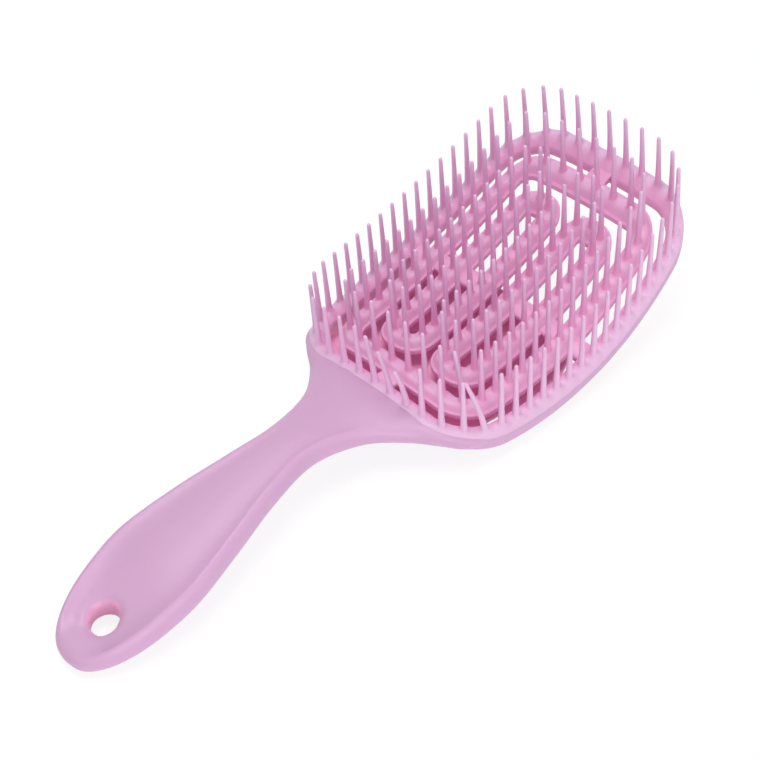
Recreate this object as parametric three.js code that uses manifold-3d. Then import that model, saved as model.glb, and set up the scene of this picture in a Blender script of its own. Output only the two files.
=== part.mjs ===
// A vented paddle brush: a one-piece handle frame that holds an open lattice of bars with rows of pins.
// Millimetres. X runs along the brush from the butt of the handle to the far end of the head, Y is across
// it and Z is up, away from the table that the brush lies on with its pins upward.

import * as THREE from 'three';
import { mergeVertices } from 'three/addons/utils/BufferGeometryUtils.js';
import Module from 'manifold-3d';

const wasm = await Module();
wasm.setup();

// Lattice in plan, from the middle outward
const centreGap = 2.5;
const barWidth = 7.8;
const padSlot = 4.4;
const padSlotCornerRadius = 0.7;
const padLength = 75.2;
const loopGap = 3.1;
const loopInnerCornerRadius = 4.1;
const ringGap = 3.5;
const ringInnerCornerRadius = 12.4;
const crossBarWidth = 6.6;
const endTieWidth = 8;

// Outer ring of pins and the rim that holds it
const ringStripWidth = 5;
const pinRowInset = 3.6;
const seatClearance = 0.3;
const rimLipWidth = 1.2;
const rimLipHeight = 1.6;
const rimTopRound = 0.9;
const rimInnerRound = 0.9;
const rimUnderRound = 1.6;
const rimDepthAtNeck = 5;
const rimDepthAtTip = 4.2;
const rimSkirt = 2.8;
const rimSkirtEnds = { beforeCentre: 8, pastCentre: 10 };
const cornerSkirt = 1.3;
const cornerSkirtEnds = { farBeforeCentre: 44, nearBeforeCentre: 28 };

// Curved sheet that the lattice lies on, given at the top edges of its slots
const sheetLowToCentre = 24;
const sheetLongRadius = 142;
const sheetCrossRadius = 220;
const endDrawIn = 6.6;
const farEndEase = 2.2;

// Bars, ties and pins, above and below the sheet
const barCrown = 2.4;
const barFlatTop = 3.4;
const barDepth = 2.2;
const ringCrown = 1.8;
const ringFlatTop = 3;
const tieCrown = 0.4;
const tieDepth = 1.7;
const pinPitch = 5.65;
const endPinPitch = 7.55;
const ringPinStart = 0;
const loopPinStart = 0.5;
const pinTipHeight = 23.8;
const pinShorterAtTip = 1.2;
const pinShorterAtNeck = 2.1;
const pinRootRadius = 1.15;
const pinRootDepth = 1.2;
const pinTipRadius = 0.65;
const pinRoundTip = 0.5;

// Tongue of the frame under the near half of the lattice
const tongueWidth = 63.2;
const tongueDrop = 6.83;
const tongueThickness = 2.2;
const tonguePastCentre = 7;
const tongueCornerRadius = 14;
const tongueRootOverlap = 1;
const notchedWidth = 58.4;
const notchBeforeCentre = { start: 41, deep: 37.5, shallow: 31.5, end: 28.5 };

// Handle, measured from its butt
const handleLength = 119.8;
const gripFromButt = 36;
const gripWidth = 33.6;
const gripThickness = 13.4;
const gripLift = 8.1;
const gripBorderWidth = 1.8;
const thumbDishDepth = 3.1;
const neckDishDepth = 1.3;
const thumbDishFromButt = 1.5;
const thumbDishFullFromButt = 10;
const dishFadeBeforeHead = 18;
const dishEndBeforeHead = 3;
const floorRisePastHole = 3;
const hangHoleFromButt = 14.7;
const hangHoleDiameter = 8.6;
const hangHoleTopLip = 3;
const hangHoleUnderLip = 3.6;
const hangHoleWaistDepth = 4.9;

// Sections at even steps between the grip and the neck
const gripTapers = [
  { width: 28.1, middle: 14.1, thickness: 12.9 },
  { width: 21, middle: 16.2, thickness: 11.6 },
];

// Neck and shoulders, measured from the near end of the head
const neckBeforeHead = 31.3;
const neckWidth = 17;
const neckThickness = 10.5;
const neckMiddleHeight = 16.6;
const flareBeforeHead = 15.5;
const flareWidth = 25.2;
const flareThickness = 10;
const flareMiddleHeight = 14.6;
const throatBeforeHead = 4.5;
const throatWidth = 42.4;
const throatThickness = 9.5;
const throatMiddleHeight = 13;
const collarPastHead = 1.5;
const collarStepIn = 10.2;
const shoulderPastHead = 8;
const shoulderStepIn = 3.8;
const shoulderLength = 20;
const shoulderEdgeDrop = 0.4;
const shoulderInset = 0.2;

// How full the rounded sections are, from 1 for an ellipse toward 0 for a box
const handleFullness = 0.75;
const gripTopFullness = 0.55;
const gripFullness = 0.75;
const buttRoundness = 0.91;

// How squarely the thumb dish meets its border, from 2 for a round dish upward
const dishFlatness = 5.5;

// How much shallower the thumb dish is along its middle, as a share of its depth
const dishFloorRise = 0.5;

// Cutters reach past what they cut, and corners that meet are welded
const wellOverlap = 0.6;
const cutterReach = 60;
const weldDistance = 1e-4;

// Fineness of the faceted solids
const ringSteps = 84;
const loopSteps = 64;
const padSteps = 36;
const pinSides = 4;
const cornerSteps = 24;
const crossBarSteps = 6;
const tongueSteps = { along: 40, across: 8 };
const handleSides = 36;
const handleSteps = 60;
const gripTurns = 5;
const holeSides = 24;
const holeLipSteps = 4;

const mouldedLilac = new THREE.Color(0xd8aed2);
const mouldedPink = new THREE.Color(0xd698bf);
const frameRoughness = 0.42;
const pinRoughness = 0.45;

// Half sizes of the lattice and the rim, each step worked out from the one inside it
const padHalfLength = padLength / 2;
const padHalfWidth = barWidth + padSlot / 2;
const padMiddleY = centreGap / 2 + padHalfWidth;
const padOuterY = padMiddleY + padHalfWidth;
const loopInner = { length: padHalfLength + loopGap, width: padOuterY + loopGap };
const loopOuter = { length: loopInner.length + barWidth, width: loopInner.width + barWidth };
const ringInner = { length: loopOuter.length + ringGap, width: loopOuter.width + ringGap };
const ringRow = { length: ringInner.length + pinRowInset, width: ringInner.width + pinRowInset };
const ringOutside = ringStripWidth - pinRowInset;
const stripMiddle = (ringOutside - pinRowInset) / 2;
const rimFromRow = ringOutside + seatClearance + rimLipWidth;
const rimOuter = { length: ringRow.length + rimFromRow, width: ringRow.width + rimFromRow };
const ledgeDepth = tieDepth + seatClearance;

const centreX = handleLength + rimOuter.length;
const overallLength = centreX + rimOuter.length;
const sheetLowX = centreX - sheetLowToCentre;
const neckX = handleLength - neckBeforeHead;
const tongueRootX = centreX - ringInner.length - tongueRootOverlap;
const tongueEndX = centreX + tonguePastCentre;

function smoothStep(from, to, x) {
  return THREE.MathUtils.smoothstep(x, from, to);
}

// The head is widest at its middle: its sides draw in toward both ends
function drawnIn(x, y) {
  const fromCentre = (x - centreX) / rimOuter.length;
  return y * (1 - (endDrawIn / rimOuter.width) * fromCentre ** 2);
}

function crossDrop(y) {
  return y ** 2 / (2 * sheetCrossRadius);
}

// Along the brush the sheet sags like a shallow bowl and eases off at the far rim
function sheetRise(x) {
  const eased = farEndEase * smoothStep(centreX + loopInner.length + barWidth / 2, overallLength, x);
  return (x - sheetLowX) ** 2 / (2 * sheetLongRadius) - eased;
}

// How much a round corner takes off the half width, by how far a place lies past the start of the corner
function cornerCut(radius, pastStart) {
  const turn = Math.asin(THREE.MathUtils.clamp(pastStart / radius, 0, 1));
  return radius * (1 - Math.cos(turn));
}

// By the neck the tongue fills the rim from wall to wall. Past a notch on each side it runs free of the rim
// to a round-cornered end.
function tongueHalfWidth(x) {
  const rootCorner = ringInnerCornerRadius + tongueRootOverlap;
  const rootHalf = ringInner.width + tongueRootOverlap - cornerCut(rootCorner, tongueRootX + rootCorner - x);
  const widening = smoothStep(centreX - notchBeforeCentre.shallow, centreX - notchBeforeCentre.end, x);
  const freeHalf = THREE.MathUtils.lerp(notchedWidth, tongueWidth, widening) / 2;
  const endCut = cornerCut(tongueCornerRadius, x - tongueEndX + tongueCornerRadius);
  const leaving = smoothStep(centreX - notchBeforeCentre.start, centreX - notchBeforeCentre.deep, x);
  return THREE.MathUtils.lerp(rootHalf, freeHalf - endCut, leaving);
}

// The side edges of the tongue touch the table where they are lowest
const tongueEdgeDrops = Array.from({ length: tongueSteps.along + 1 }, (_, i) => {
  const x = THREE.MathUtils.lerp(tongueRootX, tongueEndX, i / tongueSteps.along);
  return crossDrop(drawnIn(x, tongueHalfWidth(x))) - sheetRise(x);
});
const sheetLowHeight = tongueDrop + tongueThickness + Math.max(...tongueEdgeDrops);

function sheetHeight(x, y) {
  return sheetLowHeight + sheetRise(x) - crossDrop(y);
}

// The grip grows in a quarter turn from the end of the butt to its widest place
const gripStations = Array.from({ length: gripTurns + 1 }, (_, i) => (i / gripTurns) * (Math.PI / 2));

function gripThicknessAt(turn) {
  return gripThickness * Math.sin(turn) ** gripFullness;
}

function gripGone(turn) {
  return 1 - Math.cos(turn) ** buttRoundness;
}

// The underside of the grip touches the table where it is lowest
const gripDrops = gripStations.map((turn) => gripThicknessAt(turn) / 2 - gripLift * gripGone(turn));
const buttMiddle = Math.max(...gripDrops);

// Moves each vertex of a geometry to the place that a function gives it
function reshape(geometry, place) {
  const position = geometry.attributes.position;
  const vertex = new THREE.Vector3();
  for (let i = 0; i < position.count; i += 1) {
    vertex.fromBufferAttribute(position, i);
    place(vertex, i);
    position.setXYZ(i, vertex.x, vertex.y, vertex.z);
  }
  return geometry;
}

// Lays a flat piece, whose z counts from the sheet, onto the curved sheet
function layOnSheet(geometry) {
  return reshape(geometry, (vertex) => {
    vertex.y = drawnIn(vertex.x, vertex.y);
    vertex.z += sheetHeight(vertex.x, vertex.y);
  });
}

function toSolid(geometry) {
  geometry.deleteAttribute('normal');
  geometry.deleteAttribute('uv');
  const merged = mergeVertices(geometry, weldDistance);
  const corners = merged.index.array;
  const kept = [];
  for (let i = 0; i < corners.length; i += 3) {
    const [a, b, c] = [corners[i], corners[i + 1], corners[i + 2]];
    if (a !== b && b !== c && c !== a) kept.push(a, b, c);
  }
  const vertProperties = new Float32Array(merged.attributes.position.array);
  const triVerts = new Uint32Array(kept);
  return new wasm.Manifold(new wasm.Mesh({ numProp: 3, vertProperties, triVerts }));
}

function toMesh(name, solid, color, roughness) {
  const { vertProperties, triVerts } = solid.getMesh();
  const geometry = new THREE.BufferGeometry();
  geometry.setAttribute('position', new THREE.BufferAttribute(vertProperties, 3));
  geometry.setIndex(new THREE.BufferAttribute(triVerts, 1));
  geometry.computeVertexNormals();
  const material = new THREE.MeshStandardMaterial({ color, roughness, metalness: 0 });
  const mesh = new THREE.Mesh(geometry, material);
  mesh.name = name;
  return mesh;
}

// Rounded rectangle round (centreX, middleY), counter-clockwise from the middle of its near end
function roundedLoop(halfLength, halfWidth, radius, middleY = 0) {
  const near = centreX - halfLength;
  const far = centreX + halfLength;
  const right = middleY - halfWidth;
  const left = middleY + halfWidth;
  const path = new THREE.Path();
  path.moveTo(near, middleY);
  path.lineTo(near, right + radius);
  path.absarc(near + radius, right + radius, radius, Math.PI, 1.5 * Math.PI);
  path.lineTo(far - radius, right);
  path.absarc(far - radius, right + radius, radius, 1.5 * Math.PI, 2 * Math.PI);
  path.lineTo(far, left - radius);
  path.absarc(far - radius, left - radius, radius, 0, 0.5 * Math.PI);
  path.lineTo(near + radius, left);
  path.absarc(near + radius, left - radius, radius, 0.5 * Math.PI, Math.PI);
  path.lineTo(near, middleY);
  return path;
}

// Sweeps a section round a closed path. The section lists (out, up) points from its outer side over the
// top to its inner side and back below, and may change with the place along the brush.
function sweptLoop(path, steps, sectionAt) {
  const sides = sectionAt(centreX).length;
  const geometry = new THREE.TorusGeometry(2, 1, sides, steps);
  return reshape(geometry, (vertex, index) => {
    const along = (index % (steps + 1)) % steps;
    const side = Math.floor(index / (steps + 1)) % sides;
    const point = path.getPoint(along / steps);
    const tangent = path.getTangent(along / steps);
    const [out, up] = sectionAt(point.x)[side];
    vertex.set(point.x + tangent.y * out, point.y - tangent.x * out, up);
  });
}

// Flat block between two places along, across and above the sheet, each pair in either order
function block([x0, x1], [y0, y1], [z0, z1], stepsX = 2, stepsY = 2) {
  const size = [Math.abs(x1 - x0), Math.abs(y1 - y0), Math.abs(z1 - z0)];
  const geometry = new THREE.BoxGeometry(...size, stepsX, stepsY, 1);
  return geometry.translate((x0 + x1) / 2, (y0 + y1) / 2, (z0 + z1) / 2);
}

// Bar of the lattice: upright sides, flat below, crowned on top
function barSection() {
  const half = barWidth / 2;
  const flat = barFlatTop / 2;
  return [
    [half, 0],
    [flat, barCrown],
    [-flat, barCrown],
    [-half, 0],
    [-half, -barDepth],
    [half, -barDepth],
  ];
}

// Strip of the outer ring: a half bar whose outer side stands against the rim's lip
function ringSection() {
  return [
    [ringOutside, ringCrown],
    [ringOutside - ringFlatTop, ringCrown],
    [-pinRowInset, 0],
    [-pinRowInset, -tieDepth],
    [stripMiddle, -tieDepth],
    [ringOutside, -tieDepth],
  ];
}

function rimDepth(x) {
  const slim = smoothStep(centreX - padHalfLength, centreX, x);
  return THREE.MathUtils.lerp(rimDepthAtNeck, rimDepthAtTip, slim);
}

// The inner side of the rim hangs lower beside the tongue, most of all in the corners by the neck
function rimInnerDepth(x) {
  const skirtEnd = smoothStep(centreX - rimSkirtEnds.beforeCentre, centreX + rimSkirtEnds.pastCentre, x);
  const { farBeforeCentre, nearBeforeCentre } = cornerSkirtEnds;
  const cornerEnd = smoothStep(centreX - farBeforeCentre, centreX - nearBeforeCentre, x);
  return rimDepth(x) + rimSkirt * (1 - skirtEnd) + cornerSkirt * (1 - cornerEnd);
}

// Rim of the frame: a rounded outer wall, a thin lip round the ring of pins and a ledge below it
function rimSection(x) {
  const lip = rimFromRow - rimLipWidth;
  const depth = rimDepth(x);
  const innerDepth = rimInnerDepth(x);
  return [
    [rimFromRow, rimLipHeight - rimTopRound],
    [rimFromRow - rimTopRound, rimLipHeight],
    [lip, rimLipHeight],
    [lip, -ledgeDepth],
    [stripMiddle, -ledgeDepth],
    [-pinRowInset, -ledgeDepth],
    [-pinRowInset, rimInnerRound - innerDepth],
    [rimInnerRound - pinRowInset, -innerDepth],
    [rimFromRow - rimUnderRound, -depth],
    [rimFromRow, rimUnderRound - depth],
  ];
}

// Pins are shorter across both ends of the head, where the sheet curls up
function pinHeight(x) {
  const shorter = x > centreX ? pinShorterAtTip : pinShorterAtNeck;
  return pinTipHeight - shorter * smoothStep(loopInner.length, ringRow.length, Math.abs(x - centreX));
}

// One tapered pin with a blunt tip, rooted just under the bar's crown
function pinSolid(x, y, crown) {
  const tip = pinHeight(x);
  const outline = [
    new THREE.Vector2(0, crown - pinRootDepth),
    new THREE.Vector2(pinRootRadius, crown - pinRootDepth),
    new THREE.Vector2(pinTipRadius, tip - pinRoundTip),
    new THREE.Vector2(0, tip),
  ];
  const geometry = new THREE.LatheGeometry(outline, pinSides);
  geometry.rotateX(Math.PI / 2);
  const footY = drawnIn(x, y);
  return toSolid(geometry.translate(x, footY, sheetHeight(x, footY)));
}

// Places of the pins round a loop, from the middle of its near end. Steps across the brush have a pitch of
// their own, and the first pin stands at the given share of a step.
function pinPlaces(path, acrossPitch, start) {
  const points = path.getPoints(cornerSteps);
  const counted = [0];
  for (let i = 1; i < points.length; i += 1) {
    const step = points[i].clone().sub(points[i - 1]);
    counted.push(counted[i - 1] + Math.hypot(step.x / pinPitch, step.y / acrossPitch));
  }
  const total = counted[counted.length - 1];
  const count = Math.round(total);
  const places = [];
  let i = 1;
  for (let pin = 0; pin < count; pin += 1) {
    const wanted = ((pin + start) / count) * total;
    while (counted[i] < wanted) i += 1;
    const share = (wanted - counted[i - 1]) / (counted[i] - counted[i - 1]);
    places.push(points[i - 1].clone().lerp(points[i], share));
  }
  return places;
}

function plantPins(bar, places, crown) {
  return places.reduce((solid, { x, y }) => solid.add(pinSolid(x, y, crown)), bar);
}

// Ring of pins that sits inside the rim
function outerPinRing(path) {
  const strip = toSolid(layOnSheet(sweptLoop(path, ringSteps, ringSection)));
  return plantPins(strip, pinPlaces(path, endPinPitch, ringPinStart), ringCrown);
}

// Middle loop, with its ties to the ring at both ends and both sides
function middlePinLoop() {
  const halfLength = loopInner.length + barWidth / 2;
  const halfWidth = loopInner.width + barWidth / 2;
  const path = roundedLoop(halfLength, halfWidth, loopInnerCornerRadius + barWidth / 2);
  let solid = toSolid(layOnSheet(sweptLoop(path, loopSteps, barSection)));
  const reachX = ringInner.length - seatClearance;
  const reachY = ringInner.width - seatClearance;
  const halfTie = endTieWidth / 2;
  const halfBar = crossBarWidth / 2;
  const level = [-tieDepth, tieCrown];
  for (const side of [-1, 1]) {
    const endX = [centreX + side * halfLength, centreX + side * reachX];
    const endTie = block(endX, [-halfTie, halfTie], level);
    const sideY = [side * halfWidth, side * reachY];
    const sideTie = block([centreX - halfBar, centreX + halfBar], sideY, level);
    solid = solid.add(toSolid(layOnSheet(endTie))).add(toSolid(layOnSheet(sideTie)));
  }
  return plantPins(solid, pinPlaces(path, endPinPitch, loopPinStart), barCrown);
}

// One of the two inner loops, with its half of the cross bar and the tie that it rocks on
function innerPinLoop(side) {
  const middleY = side * padMiddleY;
  const rowHalfLength = padHalfLength - barWidth / 2;
  const rowHalfWidth = padHalfWidth - barWidth / 2;
  const path = roundedLoop(rowHalfLength, rowHalfWidth, padSlotCornerRadius + barWidth / 2, middleY);
  const loop = toSolid(layOnSheet(sweptLoop(path, padSteps, barSection)));
  const halfBar = crossBarWidth / 2;
  const barX = [centreX - halfBar, centreX + halfBar];
  const barY = [middleY - side * rowHalfWidth, side * (loopInner.width - seatClearance)];
  const crossBar = block(barX, barY, [-tieDepth, tieCrown], 2, crossBarSteps);
  const bar = loop.add(toSolid(layOnSheet(crossBar)));
  return plantPins(bar, pinPlaces(path, pinPitch, loopPinStart), barCrown);
}

// Cross section of the handle, by its full width, the height of its middle and its thickness
function handleSlice(x, width, middle, thickness) {
  return {
    x,
    halfWidth: width / 2,
    top: middle + thickness / 2,
    edge: middle,
    bottom: middle - thickness / 2,
  };
}

// Cross section of a shoulder: level with the rim on top, and deep enough below to carry the tongue
function shoulderSlice(x, halfWidth) {
  const sheet = sheetHeight(x, 0);
  return {
    x,
    halfWidth,
    top: sheet + rimLipHeight,
    edge: sheet - shoulderEdgeDrop,
    bottom: sheet - tongueDrop - tongueThickness,
  };
}

function gripSlice(turn) {
  const gone = gripGone(turn);
  const width = gripWidth * Math.sin(turn) ** buttRoundness;
  return handleSlice(gripFromButt * gone, width, buttMiddle + gripLift * gone, gripThicknessAt(turn));
}

// Sections along the handle, from the butt to the shoulders beside the head
function handleSlices() {
  const flareX = handleLength - flareBeforeHead;
  const throatX = handleLength - throatBeforeHead;
  const endX = handleLength + shoulderLength;
  const endHalfWidth = drawnIn(endX, rimOuter.width) - shoulderInset;
  return [
    ...gripStations.map(gripSlice),
    ...gripTapers.map(({ width, middle, thickness }, i) => {
      const x = THREE.MathUtils.lerp(gripFromButt, neckX, (i + 1) / (gripTapers.length + 1));
      return handleSlice(x, width, middle, thickness);
    }),
    handleSlice(neckX, neckWidth, neckMiddleHeight, neckThickness),
    handleSlice(flareX, flareWidth, flareMiddleHeight, flareThickness),
    handleSlice(throatX, throatWidth, throatMiddleHeight, throatThickness),
    shoulderSlice(handleLength + collarPastHead, endHalfWidth - collarStepIn),
    shoulderSlice(handleLength + shoulderPastHead, endHalfWidth - shoulderStepIn),
    shoulderSlice(endX, endHalfWidth),
  ];
}

// Depth of the thumb dish, which leaves a raised border along both edges and shallows toward the neck.
// Past the hanging hole its floor rises along the middle, so it is deepest in a crease beside each border
function dishDepth(x, y, halfWidth) {
  const depth = THREE.MathUtils.lerp(thumbDishDepth, neckDishDepth, smoothStep(gripFromButt, neckX, x));
  const start = smoothStep(thumbDishFromButt, thumbDishFullFromButt, x);
  const end = smoothStep(handleLength - dishFadeBeforeHead, handleLength - dishEndBeforeHead, x);
  const reach = Math.max(halfWidth - gripBorderWidth, gripBorderWidth);
  const across = Math.min(Math.abs(y / reach), 1);
  const rise = dishFloorRise * smoothStep(hangHoleFromButt + floorRisePastHole, gripFromButt, x);
  return depth * start * (1 - end) * (1 - across ** dishFlatness) * (1 - rise * (1 - across ** 2));
}

// Handle and shoulders as one smooth body
function handleSolid() {
  const slices = handleSlices();
  const spline = (point) => new THREE.CatmullRomCurve3(slices.map(point), false, 'catmullrom');
  const planCurve = spline((slice) => new THREE.Vector3(slice.x, slice.halfWidth, 0));
  const heightCurve = spline((slice) => new THREE.Vector3(slice.top, slice.edge, slice.bottom));
  const geometry = new THREE.CylinderGeometry(1, 1, 1, handleSides, handleSteps);
  reshape(geometry, (vertex) => {
    const t = THREE.MathUtils.clamp(0.5 - vertex.y, 0, 1);
    const { x, y: halfWidth } = planCurve.getPoint(t);
    const { x: top, y: edge, z: bottom } = heightCurve.getPoint(t);
    const onTop = vertex.z > 0;
    const nearHead = smoothStep(neckX, handleLength, x);
    const topFullness = THREE.MathUtils.lerp(gripTopFullness, handleFullness, nearHead);
    const fullness = onTop ? topFullness : handleFullness;
    const y = halfWidth * Math.sign(vertex.x) * Math.abs(vertex.x) ** fullness;
    const up = Math.abs(vertex.z) ** fullness;
    const rise = onTop ? up * (top - edge - dishDepth(x, y, halfWidth)) : -up * (edge - bottom);
    vertex.set(x, y, edge + rise - nearHead * crossDrop(y));
  });
  return toSolid(geometry);
}

// Cutter for the hanging hole, belled out at both faces and narrowest at its waist
function hangHoleCutter() {
  const radius = hangHoleDiameter / 2;
  const turn = Math.acos((1 - hangHoleFromButt / gripFromButt) ** (1 / buttRoundness));
  const topLip = gripSlice(turn).top - thumbDishDepth;
  const waist = topLip - hangHoleWaistDepth;
  const outline = [
    new THREE.Vector2(0, waist - cutterReach),
    new THREE.Vector2(radius + hangHoleUnderLip, waist - cutterReach),
  ];
  for (let i = 0; i <= holeLipSteps; i += 1) {
    const angle = (i / holeLipSteps) * (Math.PI / 2);
    const out = hangHoleUnderLip * (1 - Math.sin(angle));
    outline.push(new THREE.Vector2(radius + out, waist - hangHoleUnderLip * Math.cos(angle)));
  }
  for (let i = 0; i <= holeLipSteps; i += 1) {
    const angle = (i / holeLipSteps) * (Math.PI / 2);
    const out = hangHoleTopLip * (1 - Math.cos(angle));
    outline.push(new THREE.Vector2(radius + out, topLip - hangHoleTopLip * (1 - Math.sin(angle))));
  }
  outline.push(new THREE.Vector2(radius + hangHoleTopLip + cutterReach, topLip + cutterReach));
  outline.push(new THREE.Vector2(0, topLip + cutterReach));
  const geometry = new THREE.LatheGeometry(outline, holeSides);
  geometry.rotateX(Math.PI / 2);
  return toSolid(geometry.translate(hangHoleFromButt, 0, 0));
}

// Tongue of the frame below the near half of the lattice
function tongueSolid() {
  const level = [-tongueDrop - tongueThickness, -tongueDrop];
  const geometry = block([tongueRootX, tongueEndX], [-1, 1], level, tongueSteps.along, tongueSteps.across);
  reshape(geometry, (vertex) => {
    vertex.y *= drawnIn(vertex.x, tongueHalfWidth(vertex.x));
    vertex.z += sheetHeight(vertex.x, vertex.y);
  });
  return toSolid(geometry);
}

// Cutter for the space inside the rim, a little wider than it so that the rim's own wall is what shows
function wellCutter() {
  const radius = ringInnerCornerRadius + wellOverlap;
  const path = roundedLoop(ringInner.length + wellOverlap, ringInner.width + wellOverlap, radius);
  const outline = new THREE.Shape(path.getSpacedPoints(ringSteps));
  const geometry = new THREE.ExtrudeGeometry(outline, { depth: 2 * cutterReach, bevelEnabled: false });
  return toSolid(reshape(geometry, (vertex) => {
    vertex.y = drawnIn(vertex.x, vertex.y);
    vertex.z -= cutterReach;
  }));
}

// Cutter for the seat of the ring, from the ledge upward
function seatCutter(ringPath) {
  const outer = ringOutside + seatClearance;
  const inner = -pinRowInset - wellOverlap;
  const section = [
    [outer, -ledgeDepth],
    [outer, cutterReach],
    [inner, cutterReach],
    [inner, -ledgeDepth],
    [stripMiddle, -ledgeDepth],
  ];
  return toSolid(layOnSheet(sweptLoop(ringPath, ringSteps, () => section)));
}

// Frame: handle and rim joined, cleared inside the rim, seated for the ring and given its tongue
function handleFrame(ringPath) {
  const rim = toSolid(layOnSheet(sweptLoop(ringPath, ringSteps, rimSection)));
  const handle = handleSolid().subtract(wellCutter()).subtract(seatCutter(ringPath));
  return handle.add(rim).add(tongueSolid()).subtract(hangHoleCutter());
}

const ringPath = roundedLoop(ringRow.length, ringRow.width, ringInnerCornerRadius + pinRowInset);

const brush = new THREE.Group();
brush.add(toMesh('handle_frame', handleFrame(ringPath), mouldedLilac, frameRoughness));
brush.add(toMesh('outer_pin_ring', outerPinRing(ringPath), mouldedPink, pinRoughness));
brush.add(toMesh('middle_pin_loop', middlePinLoop(), mouldedPink, pinRoughness));
brush.add(toMesh('left_pin_loop', innerPinLoop(1), mouldedPink, pinRoughness));
brush.add(toMesh('right_pin_loop', innerPinLoop(-1), mouldedPink, pinRoughness));
brush.position.x = -overallLength / 2;

export default brush;
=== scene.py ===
# %% [markdown]
# # A vented paddle brush
#
# The brush is two plastic mouldings. The handle frame is the grip, the neck, the rim round the head and a
# tongue under its near half. The pin insert is an open lattice of four springy loops, each with a row of pins.
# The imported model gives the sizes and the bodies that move. The cells below rebuild every surface more
# finely in the same place, give it its finish, and set up the picture.

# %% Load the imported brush
import math

import bmesh
import bpy
import numpy as np
from mathutils import Matrix, Vector


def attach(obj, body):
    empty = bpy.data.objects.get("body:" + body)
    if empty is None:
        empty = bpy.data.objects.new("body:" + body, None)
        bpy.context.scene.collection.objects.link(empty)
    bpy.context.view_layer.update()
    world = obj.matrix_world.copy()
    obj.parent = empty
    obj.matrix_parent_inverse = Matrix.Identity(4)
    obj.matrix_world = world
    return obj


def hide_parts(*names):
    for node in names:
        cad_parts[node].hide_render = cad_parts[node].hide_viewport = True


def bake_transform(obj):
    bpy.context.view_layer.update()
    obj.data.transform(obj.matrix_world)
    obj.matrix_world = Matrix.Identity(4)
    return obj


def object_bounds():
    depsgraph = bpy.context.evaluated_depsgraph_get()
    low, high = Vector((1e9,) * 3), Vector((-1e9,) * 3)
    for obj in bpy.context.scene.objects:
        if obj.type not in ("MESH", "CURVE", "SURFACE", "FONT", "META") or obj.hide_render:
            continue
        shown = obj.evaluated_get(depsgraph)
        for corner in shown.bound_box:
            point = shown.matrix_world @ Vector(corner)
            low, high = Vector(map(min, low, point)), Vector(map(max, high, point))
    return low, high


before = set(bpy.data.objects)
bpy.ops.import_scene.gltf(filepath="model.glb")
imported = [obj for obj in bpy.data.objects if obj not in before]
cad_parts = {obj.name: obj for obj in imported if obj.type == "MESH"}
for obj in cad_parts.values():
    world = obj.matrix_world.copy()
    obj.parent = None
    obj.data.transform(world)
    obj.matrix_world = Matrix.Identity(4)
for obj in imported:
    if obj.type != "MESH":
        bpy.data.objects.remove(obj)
scene = bpy.context.scene
MM = 0.001
cad_box = [list(corner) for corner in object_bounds()]
brush_length = (cad_box[1][0] - cad_box[0][0]) / MM
print("CAD box, mm:", [[round(v / MM, 1) for v in corner] for corner in cad_box])

# %% [markdown]
# ## The camera
#
# A camera can be aimed by eye, but here its place, heading, tilt and roll were worked out from points of the
# head and the handle, so they are written as numbers. It looks down from the right of the handle's butt, and
# leans a little to one side.

# %% Camera at the photograph's angle
camera_place = Vector((-228.33, -253.33, 381.05)) * MM
heading, tilt, roll = (math.radians(degrees) for degrees in (42.81, 46.62, -4.33))
looks_at = Vector((
    math.sin(heading) * math.cos(tilt),
    math.cos(heading) * math.cos(tilt),
    -math.sin(tilt),
))
camera_turn = looks_at.to_track_quat("-Z", "Y").to_matrix() @ Matrix.Rotation(roll, 3, "Z")
camera_data = bpy.data.cameras.new("brush_view")
camera_data.sensor_width = 36
camera_data.lens = 78.68
camera = bpy.data.objects.new("brush_view", camera_data)
camera.matrix_world = Matrix.Translation(camera_place) @ camera_turn.to_4x4()
scene.collection.objects.link(camera)
scene.camera = camera
brush_middle = Vector((0, 0, 30)) * MM
print("camera stands", round((camera_place - brush_middle).length, 3), "m from the brush")

# %% [markdown]
# ## The plan of the head
#
# Seen from above, the head is a set of rounded loops, one inside the next. Each half size is worked out from
# the one inside it, as in the CAD model, so bars, slots and rim always fit. Lengths run along the brush and
# are counted in millimetres from the butt of the handle.

# %% Half sizes of the loops, from the middle outward
pad_half_length, pad_half_width, pad_middle = 37.6, 10.0, 11.25
bar_width, loop_gap, ring_gap = 7.8, 3.1, 3.5
row_inset, ring_outside, seat_gap, lip_width = 3.6, 1.4, 0.3, 1.2

loop_inner = np.array((pad_half_length, pad_middle + pad_half_width)) + loop_gap
loop_row = loop_inner + bar_width / 2
ring_inner = loop_inner + bar_width + ring_gap
ring_row = ring_inner + row_inset
rim_outer = ring_row + ring_outside + seat_gap + lip_width
centre_x = brush_length - rim_outer[0]
handle_length = centre_x - rim_outer[0]
print("rim half sizes, mm:", rim_outer.round(2), "handle, mm:", round(handle_length, 1))

# %% [markdown]
# ## The curved sheet
#
# The whole lattice lies on one curved sheet: it sags along the head, falls off to both sides, and its sides
# draw in toward both ends. Each piece is drawn flat first and then laid on the sheet, which is simpler than
# modelling every bar in its bent form and keeps all of them in line.

# %% The curves of the sheet
sheet_low_x = centre_x - 24
sheet_long_radius, sheet_cross_radius, end_draw_in, far_ease = 142, 220, 6.6, 2.2


def smooth_step(low, high, x):
    share = np.clip((x - low) / (high - low), 0, 1)
    return share * share * (3 - 2 * share)


def drawn_in(x, y):
    return y * (1 - end_draw_in / rim_outer[1] * ((x - centre_x) / rim_outer[0]) ** 2)


def cross_drop(y):
    return y**2 / (2 * sheet_cross_radius)


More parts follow.
